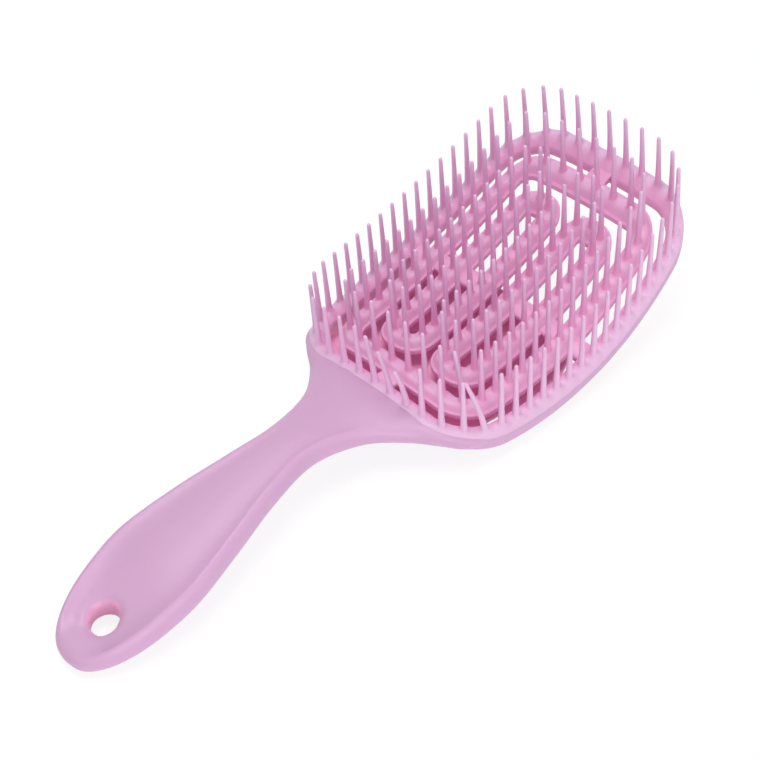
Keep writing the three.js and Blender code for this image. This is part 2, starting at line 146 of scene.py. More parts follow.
def sheet_rise(x):
    eased = far_ease * smooth_step(centre_x + loop_row[0], brush_length, x)
    return (x - sheet_low_x) ** 2 / (2 * sheet_long_radius) - eased


print("the far end of the sheet rises by, mm:", round(float(sheet_rise(brush_length)), 1))

# %% [markdown]
# ## The outline of the tongue
#
# The tongue fills the rim from wall to wall by the neck, has a notch at each side, and runs on to two round
# corners under the middle of the head. It hangs a fixed way below the sheet, and its lowest edge rests on the
# table. So the height of the sheet isn't guessed but follows from this outline.

# %% Outline of the tongue and height of the sheet
well_corner, under_rim = 12.4, 1
tongue_half, notched_half, tongue_drop, tongue_thickness = 31.6, 29.2, 6.83, 2.2
tongue_root, tongue_end = centre_x - ring_inner[0] - under_rim, centre_x + 7
root_corner, end_corner = well_corner + under_rim, 14
notch_start = centre_x - 41, centre_x - 37.5
notch_end = centre_x - 31.5, centre_x - 28.5


def corner_cut(radius, past_start):
    return radius * (1 - np.cos(np.arcsin(np.clip(past_start / radius, 0, 1))))


def tongue_half_width(x):
    root_half = ring_inner[1] + under_rim - corner_cut(root_corner, tongue_root + root_corner - x)
    free_half = notched_half + (tongue_half - notched_half) * smooth_step(*notch_end, x)
    free_half = free_half - corner_cut(end_corner, x - tongue_end + end_corner)
    return root_half + (free_half - root_half) * smooth_step(*notch_start, x)


tongue_edge = np.linspace(tongue_root, tongue_end, 41)
edge_drop = cross_drop(drawn_in(tongue_edge, tongue_half_width(tongue_edge))) - sheet_rise(tongue_edge)
sheet_low = tongue_drop + tongue_thickness + max(edge_drop)


def sheet_height(x, y):
    return sheet_low + sheet_rise(x) - cross_drop(y)


def lay_on_sheet(points):
    x, y, up = np.moveaxis(np.asarray(points, float), -1, 0)
    y = drawn_in(x, y)
    return np.stack((x, y, up + sheet_height(x, y)), axis=-1)


print("lowest place of the sheet, mm:", round(sheet_low, 2))

# %% [markdown]
# ## Turning rings of points into a closed mesh
#
# Bars, rim, handle and pins are all rows of rings: a section that is carried along a line. Blender's curve
# bevel could do the bars, but a list of rings lets the section change from step to step. One helper joins the
# rings with quads, closes the ends, welds what meets and turns all faces outward.

# %% Helpers for meshes
weld_distance = 1e-7


def to_scene(points):
    return (np.asarray(points, float) - (brush_length / 2, 0, 0)) * MM


def mesh_of_rings(name, rings, closed_path=False):
    rings = np.asarray(rings, float)
    count, sides = rings.shape[:2]
    shape = bmesh.new()
    corners = [shape.verts.new(point) for point in to_scene(rings.reshape(-1, 3))]
    for i in range(count if closed_path else count - 1):
        here, following = i * sides, (i + 1) % count * sides
        for j in range(sides):
            k = (j + 1) % sides
            shape.faces.new([corners[n] for n in (here + j, here + k, following + k, following + j)])
    if not closed_path:
        shape.faces.new(corners[:sides])
        shape.faces.new(corners[-sides:])
    bmesh.ops.remove_doubles(shape, verts=shape.verts, dist=weld_distance)
    bmesh.ops.dissolve_degenerate(shape, edges=shape.edges, dist=weld_distance / 10)
    bmesh.ops.recalc_face_normals(shape, faces=shape.faces)
    mesh = bpy.data.meshes.new(name)
    shape.to_mesh(mesh)
    shape.free()
    piece = bpy.data.objects.new(name, mesh)
    scene.collection.objects.link(piece)
    return piece


def apply_modifiers(piece):
    bpy.context.view_layer.update()
    view = bpy.context.evaluated_depsgraph_get()
    finished = bpy.data.meshes.new_from_object(piece.evaluated_get(view))
    piece.modifiers.clear()
    old, piece.data = piece.data, finished
    bpy.data.meshes.remove(old)


def combine(piece, other, how):
    change = piece.modifiers.new(how, "BOOLEAN")
    change.solver = "MANIFOLD"
    change.operation = how
    change.object = other
    apply_modifiers(piece)
    bpy.data.objects.remove(other)


print("helpers ready")

# %% [markdown]
# ## Routes round the head
#
# A row of pins follows a rounded rectangle. Its points are kept with the distance gone, so that any share of
# the way gives a place and a direction. Pins and bars both ask the same route.

# %% A rounded route and a section swept along it
def rounded_route(half_length, half_width, radius, middle_y=0.0):
    points = [(centre_x - half_length, middle_y)]
    for x_side, y_side, start in ((-1, -1, 2), (1, -1, 3), (1, 1, 0), (-1, 1, 1)):
        middle = (centre_x + x_side * (half_length - radius), middle_y + y_side * (half_width - radius))
        for turn in np.linspace(start, start + 1, 49) * math.pi / 2:
            points.append((middle[0] + radius * math.cos(turn), middle[1] + radius * math.sin(turn)))
    points = np.array(points + points[:1])
    gone = np.concatenate(([0], np.cumsum(np.linalg.norm(np.diff(points, axis=0), axis=1))))
    return points, gone


def place_on(route, shares):
    points, gone = route
    wanted = np.mod(shares, 1) * gone[-1]
    return np.stack([np.interp(wanted, gone, points[:, axis]) for axis in (0, 1)], axis=-1)


def along(route, shares, small_step=2e-4):
    direction = place_on(route, shares + small_step) - place_on(route, shares - small_step)
    direction /= np.linalg.norm(direction, axis=-1, keepdims=True)
    return place_on(route, shares), np.stack((direction[:, 1], -direction[:, 0]), axis=-1)


def swept_rings(route, step, section_at):
    count = round(route[1][-1] / step)
    places, outward = along(route, np.arange(count) / count)
    rings = []
    for place, out in zip(places, outward):
        section = np.asarray(section_at(place[0]))
        rings.append(np.column_stack((place + section[:, :1] * out, section[:, 1])))
    return np.array(rings)


loop_corner, pad_corner, half_bar = 4.1, 0.7, bar_width / 2
pad_row = pad_half_length - half_bar, pad_half_width - half_bar
ring_route = rounded_route(*ring_row, well_corner + row_inset)
loop_route = rounded_route(*loop_row, loop_corner + half_bar)
pad_routes = {side: rounded_route(*pad_row, pad_corner + half_bar, side * pad_middle) for side in (1, -1)}
print("rows of pins, mm:", [round(route[1][-1], 1) for route in (ring_route, loop_route, pad_routes[1])])

# %% [markdown]
# ## The handle
#
# The grip is a soft, full oval that rises from the butt, narrows to the neck and spreads into the shoulders.
# Sculpting would do it, but a loft through a few sections follows the CAD model closely. A section is its
# place, its half width, and the heights of its top, its widest line and its underside.

# %% Sections along the handle
def plain_section(x, width, middle, thickness):
    return x, width / 2, middle + thickness / 2, middle, middle - thickness / 2


grip_from_butt, grip_width, grip_thickness, grip_lift = 36, 33.6, 13.4, 8.1
butt_roundness, grip_fullness = 0.91, 0.75


def grip_section(turn, butt_middle):
    gone = 1 - math.cos(turn) ** butt_roundness
    width = grip_width * math.sin(turn) ** butt_roundness
    thickness = grip_thickness * math.sin(turn) ** grip_fullness
    return plain_section(grip_from_butt * gone, width, butt_middle + grip_lift * gone, thickness)


grip_turns = np.linspace(0, math.pi / 2, 6)
butt_middle = -min(grip_section(turn, 0)[4] for turn in grip_turns)
neck_x, neck_width = handle_length - 31.3, 17
lip_height, edge_below_sheet, inside_rim, shoulder_length = 1.6, 0.4, 0.2, 20


def shoulder_section(past_head, step_in):
    x = handle_length + past_head
    half_width = drawn_in(handle_length + shoulder_length, rim_outer[1]) - inside_rim - step_in
    height = sheet_height(x, 0)
    bottom = height - tongue_drop - tongue_thickness
    return x, half_width, height + lip_height, height - edge_below_sheet, bottom


palm_x, taper_x = np.linspace(grip_from_butt, neck_x, 4)[1:3]
# Place, width, height of the middle and thickness, then the shoulders.
sections = [grip_section(turn, butt_middle) for turn in grip_turns] + [
    plain_section(palm_x, 28.1, 14.1, 12.9),
    plain_section(taper_x, 21, 16.2, 11.6),
    plain_section(neck_x, neck_width, 16.6, 10.5),
    plain_section(handle_length - 15.5, 25.2, 14.6, 10),
    plain_section(handle_length - 4.5, 42.4, 13, 9.5),
    shoulder_section(1.5, 10.2),
    shoulder_section(8, 3.8),
    shoulder_section(shoulder_length, 0),
]
print(len(sections), "sections from the butt to the shoulders")

# %% [markdown]
# ## The dish for the thumb and the lips of the hole
#
# The top of the grip is dished for the thumb. A rounded border stays proud along both edges, all the way to the
# shoulders, and the floor of the dish is crowned, so a soft crease runs along the foot of each border. The
# hanging hole has round lips. Cutting such shallow forms with a boolean leaves hard edges, so both are taken
# off the heights of the loft itself, and only the straight waist of the hole is cut later.

# %% Depth of the dish and of the lips
hole_from_butt, hole_radius, hole_top_lip, hole_under_lip = 14.7, 4.3, 3.0, 3.6
border_width, dish_depth, neck_dish_depth, dish_flatness, floor_rise = 1.8, 3.1, 1.3, 5.5, 0.5
dish_start = 1.5, 10
dish_end = handle_length - 18, handle_length - 3
crown_start = hole_from_butt + 3, grip_from_butt


def dish(x, y, half_width):
    depth = dish_depth + (neck_dish_depth - dish_depth) * smooth_step(grip_from_butt, neck_x, x)
    depth = depth * smooth_step(*dish_start, x) * (1 - smooth_step(*dish_end, x))
    reach = max(half_width - border_width, border_width)
    across = np.minimum(np.abs(y / reach), 1)
    crown = floor_rise * smooth_step(*crown_start, x) * (1 - across**2)
    return depth * (1 - across**dish_flatness) * (1 - crown)


def hole_lip(x, y, lip):
    inward = np.clip(1 - (np.hypot(x - hole_from_butt, y) - hole_radius) / lip, 0, 1)
    return lip * (1 - np.sqrt(1 - inward**2))


print("dish at the middle of the grip, mm:", round(float(dish(grip_from_butt, 0, grip_width / 2)), 2))


# %% Loft the handle through its sections
def through(stations, count):
    known = np.asarray(stations, float)
    known = np.vstack((2 * known[0] - known[1], known, 2 * known[-1] - known[-2]))
    spans = np.linspace(0, len(stations) - 1, count)
    start = np.minimum(spans.astype(int), len(stations) - 2)
    t = (spans - start)[:, None]
    a, b, c, d = (known[start + i] for i in range(4))
    return 0.5 * (2 * b + (c - a) * t + (2 * a - 5 * b + 4 * c - d) * t**2 + (3 * b - a - 3 * c + d) * t**3)


top_fullness, fuller_at_head, under_fullness = 0.55, 0.2, 0.75


def handle_rings(steps=480, sides=140):
    angle = (np.arange(sides) + 0.5) / sides * 2 * math.pi
    is_top = np.sin(angle) > 0
    rings = []
    for x, half_width, top, edge, bottom in through(sections, steps):
        toward_head = smooth_step(neck_x, handle_length, x)
        fullness = np.where(is_top, top_fullness + fuller_at_head * toward_head, under_fullness)
        y = half_width * np.sign(np.cos(angle)) * np.abs(np.cos(angle)) ** fullness
        upward = np.abs(np.sin(angle)) ** fullness
        above = upward * (top - edge - dish(x, y, half_width)) - hole_lip(x, y, hole_top_lip)
        below = hole_lip(x, y, hole_under_lip) - upward * (edge - bottom)
        height = edge + np.where(is_top, above, below) - toward_head * cross_drop(y)
        rings.append(np.column_stack((np.full(sides, x), y, height)))
    return rings


handle = mesh_of_rings("handle_frame_skin", handle_rings())
print("handle loft:", len(handle.data.vertices), "points")

# %% [markdown]
# ## Clearing the head and the hanging hole
#
# The shoulders run on into the head, where the lattice has to sit. The space inside the rim, the seat of the
# outer ring and the waist of the hanging hole are cut away with solid cutters. A boolean is the plain choice
# here, because each cutter is the negative of a real pocket in the mould.

# %% Cut the well, the seat and the hanging hole
tie_depth = 1.7
ledge_depth = tie_depth + seat_gap
overlap, past_all = 0.6, 60


def straight_cutter(name, plan):
    return mesh_of_rings(name, [np.column_stack((plan, np.full(len(plan), z))) for z in (-past_all, past_all)])


well_route = rounded_route(*(ring_inner + overlap), well_corner + overlap)
well_plan = place_on(well_route, np.arange(160) / 160)
well_plan = np.column_stack((well_plan[:, 0], drawn_in(*well_plan.T)))
combine(handle, straight_cutter("well", well_plan), "DIFFERENCE")

seat_out, seat_in = ring_outside + seat_gap, -row_inset - overlap
seat = [(seat_out, -ledge_depth), (seat_out, past_all), (seat_in, past_all), (seat_in, -ledge_depth)]
seat_rings = lay_on_sheet(swept_rings(ring_route, 2, lambda x: seat))
combine(handle, mesh_of_rings("seat", seat_rings, closed_path=True), "DIFFERENCE")

around = np.arange(96) / 96 * 2 * math.pi
hole_plan = np.column_stack((hole_from_butt + hole_radius * np.cos(around), hole_radius * np.sin(around)))
combine(handle, straight_cutter("hole", hole_plan), "DIFFERENCE")
print("handle after its cuts:", len(handle.data.polygons), "faces")

# %% [markdown]
# ## Rim and tongue, grown into one skin with the handle
#
# The rim is a rounded wall with a thin lip round the outer ring of pins and a ledge under it. It is deepest on
# its inside by the neck, where a skirt reaches down to the tongue, a thin curved plate below the near half of
# the lattice. On the real frame handle, rim and tongue flow together with soft inside corners. Bevelling each
# junction would be fiddly, so the three are remeshed as one volume, and the small steps are then smoothed,
# which rounds every edge a little, as in a moulding.

# %% Rim
near_depth, far_depth, skirt_depth, neck_skirt_depth = 5, 4.2, 2.8, 1.3
lip_round, under_round, inside_bevel, under_ring = 1.4, 1.6, 0.9, 0.2
lip_inside, inner_wall = ring_outside + seat_gap - under_ring, -row_inset
rim_outside, lip_top = ring_outside + seat_gap + lip_width, lip_height - 0.3
skirt_end, neck_skirt_end = (centre_x - 8, centre_x + 10), (centre_x - 44, centre_x - 28)
quarter_turn = np.linspace(0, math.pi / 2, 6)


def rim_section(x):
    depth = near_depth + (far_depth - near_depth) * smooth_step(centre_x - pad_half_length, centre_x, x)
    skirt = skirt_depth * (1 - smooth_step(*skirt_end, x))
    inner_depth = depth + skirt + neck_skirt_depth * (1 - smooth_step(*neck_skirt_end, x))
    top = [(rim_outside - lip_round + lip_round * math.cos(turn),
            lip_top - lip_round + lip_round * math.sin(turn)) for turn in quarter_turn]
    seat_wall = [(lip_inside, lip_top), (lip_inside, -ledge_depth), (inner_wall, -ledge_depth)]
    inside = [(inner_wall, inside_bevel - inner_depth), (inner_wall + inside_bevel, -inner_depth)]
    under = [(rim_outside - under_round + under_round * math.sin(turn),
              under_round - depth - under_round * math.cos(turn)) for turn in quarter_turn]
    return top + seat_wall + inside + under


rim = mesh_of_rings("rim", lay_on_sheet(swept_rings(ring_route, 0.8, rim_section)), closed_path=True)
print("rim:", len(rim.data.vertices), "points")

# %% Tongue
straight_part = np.linspace(tongue_root, tongue_end - end_corner, 120)
round_part = tongue_end - end_corner * (1 - np.sin(np.linspace(0.02, 1, 40) * math.pi / 2))
across_tongue = np.linspace(-1, 1, 61)
tongue_rings = []
for x in np.concatenate((straight_part, round_part)):
    flat_level = np.full_like(across_tongue, -tongue_drop)
    top = np.column_stack((np.full_like(across_tongue, x), across_tongue * tongue_half_width(x), flat_level))
    tongue_rings.append(np.vstack((top, (top - (0, 0, tongue_thickness))[::-1])))
tongue = mesh_of_rings("tongue", lay_on_sheet(tongue_rings))
print("tongue:", len(tongue.data.vertices), "points")


# %% Grow them into one smooth skin
def join(piece, *others):
    shape = bmesh.new()
    for part in (piece, *others):
        shape.from_mesh(part.data)
    shape.to_mesh(piece.data)
    shape.free()
    for part in others:
        bpy.data.objects.remove(part)


join(handle, rim, tongue)
regrow = handle.modifiers.new("one skin", "REMESH")
regrow.mode = "VOXEL"
regrow.voxel_size = 0.42 * MM
regrow.use_smooth_shade = True
soften = handle.modifiers.new("soft corners", "SMOOTH")
soften.factor = 0.5
soften.iterations = 7
apply_modifiers(handle)
print("handle frame:", len(handle.data.vertices), "points")

# %% [markdown]
# ## Bars of the lattice
#
# Each loop is a bar with upright sides, a flat underside and a crowned top that swells round the foot of each
# pin. The outer ring has a rounder top that meets the lip of the rim, and sits on the ledge below. A boolean
# fillet at every foot would be slow, so the swelling is part of the bar itself: the top of the section is
# raised by how near each point is to a foot.

# %% Places of the pins
pin_pitch, pitch_across_ends = 5.65, 7.55


def pin_places(route, pitch_across, first):
    points = route[0]
    steps = np.abs(np.diff(points, axis=0)) / (pin_pitch, pitch_across)
    counted = np.concatenate(([0], np.cumsum(np.hypot(*steps.T))))
    count = round(counted[-1])
    wanted = (np.arange(count) + first) / count * counted[-1]
    return np.column_stack([np.interp(wanted, counted, points[:, axis]) for axis in (0, 1)])


ring_feet = pin_places(ring_route, pitch_across_ends, 0)
loop_feet = pin_places(loop_route, pitch_across_ends, 0.5)
pad_feet = {side: pin_places(pad_routes[side], pin_pitch, 0.5) for side in (1, -1)}
print("pins:", [len(feet) for feet in (ring_feet, loop_feet, pad_feet[1], pad_feet[-1])])

# %% Section of the loops
bar_crown, bar_depth, bar_bevel = 2.4, 2.2, 0.5
bar_shoulder = [(half_bar, -0.15), (3.75, 0.06), (3.15, 0.16), (2.95, 0.4)]
bar_top = [(2.5, 1.2), (2.05, 1.95), (1.6, 2.27), (0.9, bar_crown)]


def to_nearest(plan, feet):
    return np.min(np.linalg.norm(plan[:, None] - feet[None], axis=-1), axis=1)


def nearness(away, reach):
    return np.exp(-((away / reach) ** 2))


def bar_rings(route, feet, foot_swell=1.0, foot_reach=1.7):
    right = [(half_bar - bar_bevel, -bar_depth), (half_bar, bar_bevel - bar_depth), *bar_shoulder, *bar_top]
    section = right + [(-out, up) for out, up in reversed(right)]
    rings = swept_rings(route, 0.7, lambda x: section)
    away = to_nearest(rings[..., :2].reshape(-1, 2), feet).reshape(rings.shape[:2])
    rings[..., 2] += foot_swell * np.clip(rings[..., 2] / bar_crown, 0, 1) * nearness(away, foot_reach)
    return rings


print("a loop's section has", 2 * (2 + len(bar_shoulder) + len(bar_top)), "points")

# %% Section of the outer ring
ring_crown, low_swell_by_neck = 1.8, 0.3
ring_foot = ledge_depth + 0.5
ring_outer_edge = [(ring_outside, -ring_foot), (ring_outside + seat_gap, -1.2), (2.72, -0.4), (2.86, 0.1),
                   (2.8, 0.5), (2.62, 0.88), (2.3, 1.24), (1.8, 1.55), (1.2, 1.72), (0.4, ring_crown)]
ring_inner_edge = [(-0.4, ring_crown), (-1.0, 1.74), (-1.7, 1.5), (-2.4, 1.05), (-3.0, 0.52), (-3.4, 0.1),
                   (-row_inset, -0.3), (-row_inset, 0.2 - ring_foot), (-row_inset, -ring_foot)]


def ring_rings(route, feet, foot_swell=1.6, foot_reach=1.5):
    section = ring_outer_edge + ring_inner_edge
    out, up = np.array(section).T
    swells = smooth_step(-3.2, -0.6, out) * (1 - smooth_step(1.0, 2.8, out)) * (up > 0)
    rings = swept_rings(route, 0.6, lambda x: section)
    places = place_on(route, np.arange(len(rings)) / len(rings))
    past_shoulders = smooth_step(handle_length + 4, handle_length + shoulder_length, places[:, 0])
    past_shoulders = low_swell_by_neck + (1 - low_swell_by_neck) * past_shoulders
    near_a_foot = past_shoulders * nearness(to_nearest(places, feet), foot_reach)
    rings[..., 2] += foot_swell * swells * near_a_foot[:, None]
    return rings


print("the ring's section has", len(ring_outer_edge + ring_inner_edge), "points")

# %% [markdown]
# ## Pins
#
# A pin is a slim, slightly tapered rod with a wider foot and a domed tip. It is turned from one outline, like
# a lathe part. The pins at both ends of the head are shorter, those at the far end lean back a little, where
# the sheet curls up, and a few by the neck are bent over, as on a brush that has been used.

# %% Turn the pins and fix them to a bar
pin_tip, shorter_by_neck, shorter_at_far_end = 23.8, 2.1, 1.2
side_lean, far_lean, bend = 0.3, 1.5, 1.4
side_lean_span, far_lean_span = (-38, 10), (centre_x + 30, centre_x + ring_row[0])


def pin_outline(crown, tip):
    shaft = tip - crown
    return [(crown - 0.9, 1.7), (crown + 0.3, 1.36), (crown + 1.2, 1.16), (crown + 2.6, 1.03),
            (crown + 0.28 * shaft, 0.92), (crown + 0.5 * shaft, 0.81), (crown + 0.75 * shaft, 0.71),
            (tip - 0.75, 0.63), (tip - 0.38, 0.54), (tip - 0.13, 0.37), (tip - 0.02, 0.17)]


def pin_rings(place, crown, lean=(0, 0), sides=14):
    x, flat_y = place
    y = drawn_in(x, flat_y)
    end = smooth_step(loop_inner[0], ring_row[0], abs(x - centre_x))
    tip = pin_tip - end * (shorter_at_far_end if x > centre_x else shorter_by_neck)
    sideways = side_lean * smooth_step(*side_lean_span, y)
    back = sideways + far_lean * smooth_step(*far_lean_span, x)
    lean = lean[0] - back, lean[1] + sideways
    base = sheet_height(x, y)
    angle = np.arange(sides) / sides * 2 * math.pi
    rings = []
    for height, radius in pin_outline(crown, tip):
        bent = max(0, (height - crown) / (tip - crown)) ** bend
        rings.append(np.column_stack((x + lean[0] * bent + radius * np.cos(angle),
                                      y + lean[1] * bent + radius * np.sin(angle),
                                      np.full(sides, base + height))))
    return rings


def pins_on(bar, feet, crown, leans={}):
    pins = [mesh_of_rings("pin", pin_rings(foot, crown, leans.get(i, (0, 0)))) for i, foot in enumerate(feet)]
    join(*pins)
    combine(bar, pins[0], "UNION")
    return len(feet)


bent_ring_pins = {0: (-1.1, 1.1), 1: (-3.4, 0.2), 2: (-5.8, -2.2), 6: (-4.6, 3.2)}
ring = mesh_of_rings("outer_pin_ring_skin", lay_on_sheet(ring_rings(ring_route, ring_feet)), closed_path=True)
print("outer ring pins:", pins_on(ring, ring_feet, ring_crown, bent_ring_pins))

# %% [markdown]
# ## Ties
#
# Short, low ties hold the loops together: two at the sides and two at the ends of the middle loop, and one at
# the middle of each inner loop, which twists when that loop rocks. A scaled cube would stand straight on the
# curved sheet, so a tie is a row of rings too. The twisting ties stay pieces of their own.

# %% Middle loop with its ties to the ring
tie_crown, tie_bevel, cross_bar_width, end_tie_width, into_ring = 0.4, 0.5, 6.6, 8.0, 1.5
cross_bar_span = centre_x - cross_bar_width / 2, centre_x + cross_bar_width / 2
end_tie_span = -end_tie_width / 2, end_tie_width / 2


def tie_rings(x_span, y_span, steps=16):
    x0, x1 = x_span
    edge = tie_crown - tie_bevel
    outline = [(x1, -tie_depth), (x1, edge), (x1 - tie_bevel, tie_crown),
               (x0 + tie_bevel, tie_crown), (x0, edge), (x0, -tie_depth)]
    return lay_on_sheet([[(x, y, up) for x, up in outline] for y in np.linspace(*y_span, steps)])


bent_loop_pins = {3: (-0.85, 2.0)}
loop = mesh_of_rings("middle_pin_loop_skin", lay_on_sheet(bar_rings(loop_route, loop_feet)), closed_path=True)
for side in (-1, 1):
    from_row, to_ring = side * loop_row, side * (ring_inner + into_ring)
    side_tie = tie_rings(cross_bar_span, (from_row[1], to_ring[1]))
    combine(loop, mesh_of_rings("side_tie", side_tie), "UNION")
    end_tie = tie_rings(sorted((centre_x + from_row[0], centre_x + to_ring[0])), end_tie_span)
    combine(loop, mesh_of_rings("end_tie", end_tie), "UNION")
print("middle loop pins:", pins_on(loop, loop_feet, bar_crown, bent_loop_pins))

# %% Inner loops and the ties that twist when they rock
pads, ties = {}, {}
for side, word in ((1, "left"), (-1, "right")):
    pad_rings = lay_on_sheet(bar_rings(pad_routes[side], pad_feet[side]))
    pads[word] = mesh_of_rings(f"{word}_pin_loop_skin", pad_rings, closed_path=True)
    inner_row, outer_row = (side * (pad_middle + across * pad_row[1]) for across in (-1, 1))
    cross_bar = tie_rings(cross_bar_span, (inner_row, outer_row))
    combine(pads[word], mesh_of_rings("cross_bar", cross_bar), "UNION")
    twisting_tie = tie_rings(cross_bar_span, (outer_row, side * loop_row[1]), 24)
    ties[word] = mesh_of_rings(f"{word}_loop_tie", twisting_tie)
    print(word, "loop pins:", pins_on(pads[word], pad_feet[side], bar_crown))

# %% [markdown]
# ## Where light and shade are painted into the tint
#
# Thin plastic lets light through and deep places throw it back and forth, so the tint isn't the same all over,
# and much of this light and shade is painted into the colour. The lattice is paler up its pins, painted light
# where they catch more of it than the deep pink bars, and on the bar tops between their feet, a painted
# highlight. It is also paler beside the rim. The frame is painted pinker inside the well under the lattice,
# apart from the tongue's underside, and in the wall of the hanging hole: painted bounce light and shade.
# Painting this by hand would be lost when a size changes, so each mesh measures it and keeps it as a value of
# its points.

# %% Helpers that read and keep values of points
points_at_once = 4000


def store(piece, name, values):
    attribute = piece.data.attributes.new(name, "FLOAT", "POINT")
    attribute.data.foreach_set("value", np.asarray(values, np.float32))


def read(piece, what):
    flat = np.empty(len(piece.data.vertices) * 3)
    piece.data.vertices.foreach_get(what, flat)
    return flat.reshape(-1, 3)


def points_of(piece):
    return read(piece, "co") / MM + (brush_length / 2, 0, 0)


def laid_flat(x, y):
    return np.column_stack((x, y / drawn_in(x, 1)))


def in_parts(measure, plan):
    return np.concatenate([measure(part) for part in np.array_split(plan, 1 + len(plan) // points_at_once)])


print("points of the handle frame:", len(points_of(handle)))


# %% Painted light on the lattice
off_a_foot, on_the_top, toward_the_rim = (1.7, 3.0), (0.6, 1.8), (-1.8, 0.4)
fully_pale_at, painted_highlight_between_feet = 0.6, 0.6


def between_feet(plan, height, feet):
    away = in_parts(lambda part: to_nearest(part, feet), plan)
    return smooth_step(*off_a_foot, away) * smooth_step(*on_the_top, height)


def by_the_rim(plan):
    rows, outward = along(ring_route, np.arange(700) / 700)
    nearest = in_parts(lambda part: np.argmin(np.linalg.norm(part[:, None] - rows, axis=-1), axis=1), plan)
    return smooth_step(*toward_the_rim, np.sum((plan - rows[nearest]) * outward[nearest], axis=1))


feet_of = {ring: ring_feet, loop: loop_feet, pads["left"]: pad_feet[1], pads["right"]: pad_feet[-1]}
lattice = [*feet_of, *ties.values()]
shaft_start = bar_crown + 1
for piece in lattice:
    x, y, z = points_of(piece).T
    plan, height = laid_flat(x, y), z - sheet_height(x, y)
    # Painted light: the pins are paler toward their tips, where they catch more light than the deep pink bars.
    up_the_pin = np.clip((height - shaft_start) / (pin_tip - shaft_start), 0, 1)
    painted_light_and_rim_blend = smooth_step(0, fully_pale_at, up_the_pin)
    # Painted highlight on the bar tops between the feet of the pins.
    if piece in feet_of:
        painted_light_and_rim_blend = np.maximum(painted_light_and_rim_blend, painted_highlight_between_feet * between_feet(plan, height, feet_of[piece]))
    # The ring is also paler beside the rim, toward the rim's colour.
    if piece is ring:
        painted_light_and_rim_blend = np.maximum(painted_light_and_rim_blend, by_the_rim(plan))
    store(piece, "painted_light_and_rim_blend", painted_light_and_rim_blend)
print("measured on", len(lattice), "pieces of the lattice")


# %% Painted light and shade in the frame's well and hole
behind_the_wall, below_the_sheet, faces_down = (0.4, 1.6), (1, 2.6), (0.3, 0.7)
off_the_hole, hole_light_strength = (0.2, 1.4), 0.7


def past_the_wall(plan):
    beyond = np.abs(plan - (centre_x, 0)) - (ring_inner - well_corner)
    return np.hypot(*np.maximum(beyond, 0).T) + np.minimum(np.max(beyond, axis=1), 0) - well_corner


x, y, z = points_of(handle).T
inside = 1 - smooth_step(*behind_the_wall, past_the_wall(laid_flat(x, y)))
looks_down = smooth_step(*faces_down, -read(handle, "normal")[:, 2])
# Painted bounce light and shade: pinker inside the well below the sheet, but not on faces that look down.
painted_recess_light = inside * smooth_step(*below_the_sheet, sheet_height(x, y) - z) * (1 - looks_down)
# Painted bounce light and shade in the wall of the hanging hole.
from_the_hole = np.hypot(x - hole_from_butt, y) - hole_radius
painted_hole_light = hole_light_strength * (1 - smooth_step(*off_the_hole, from_the_hole))
store(handle, "painted_recess_light", np.maximum(painted_recess_light, painted_hole_light))
print("share of the frame inside the well:", round(float(np.mean(painted_recess_light > 0.5)), 3))

# %% [markdown]
# ## Satin plastic
#
# Both mouldings are a satin plastic, lilac for the frame and pinker for the lattice. A single flat colour
# would look like paint, so noise shifts the tint and the roughness a little, a fine bump gives the grain of the
# mould, and a little light goes into the plastic and comes out again. The measured values bring in the second
# tint, which paints light and shade into the colour. Nodes are chosen over an image, because they need no
# unwrapping and stay sharp at any distance.

# %% Nodes of the plastic
def new_material(name):
    material = bpy.data.materials.new(name)
    material.use_nodes = True
    return material, material.node_tree.nodes, material.node_tree.links


def noise(nodes, links, place, scale):
    texture = nodes.new("ShaderNodeTexNoise")
    texture.inputs["Scale"].default_value = scale
    links.new(place.outputs["Object"], texture.inputs["Vector"])
    return texture


def mixed_tint(nodes, links, share, second_tint):
    mix = nodes.new("ShaderNodeMix")
    mix.data_type = "RGBA"
    mix.inputs[7].default_value = (*second_tint, 1)
    links.new(share.outputs["Fac"], mix.inputs[0])
    return mix


def satin_plastic(name, tint, shifted_tint, measured, painted_light_tint):
    material, nodes, links = new_material(name)
    shader = nodes["Principled BSDF"]
    place = nodes.new("ShaderNodeTexCoord")

    cloud = noise(nodes, links, place, 45)
    cloud.inputs["Detail"].default_value = 3
    shift = mixed_tint(nodes, links, cloud, shifted_tint)
    shift.inputs[6].default_value = (*tint, 1)
    # The measured value mixes in the second tint, which is painted light and shade.
    value = nodes.new("ShaderNodeAttribute")
    value.attribute_name = measured
    by_place = mixed_tint(nodes, links, value, painted_light_tint)
    links.new(shift.outputs[2], by_place.inputs[6])
    links.new(by_place.outputs[2], shader.inputs["Base Color"])

    wear = noise(nodes, links, place, 160)
    gloss = nodes.new("ShaderNodeMapRange")
    gloss.inputs["To Min"].default_value = 0.36
    gloss.inputs["To Max"].default_value = 0.48
    links.new(wear.outputs["Fac"], gloss.inputs["Value"])
    links.new(gloss.outputs["Result"], shader.inputs["Roughness"])

    grain = noise(nodes, links, place, 2600)
    bump = nodes.new("ShaderNodeBump")
    bump.inputs["Strength"].default_value = 0.06
    bump.inputs["Distance"].default_value = 0.0001
    links.new(grain.outputs["Fac"], bump.inputs["Height"])
    links.new(bump.outputs["Normal"], shader.inputs["Normal"])

    shader.inputs["Specular IOR Level"].default_value = 0.4
    shader.inputs["Subsurface Weight"].default_value = 0.25
    shader.inputs["Subsurface Radius"].default_value = (1.0, 0.45, 0.75)
    shader.inputs["Subsurface Scale"].default_value = 0.002
    return material


print("plastic ready to mix")

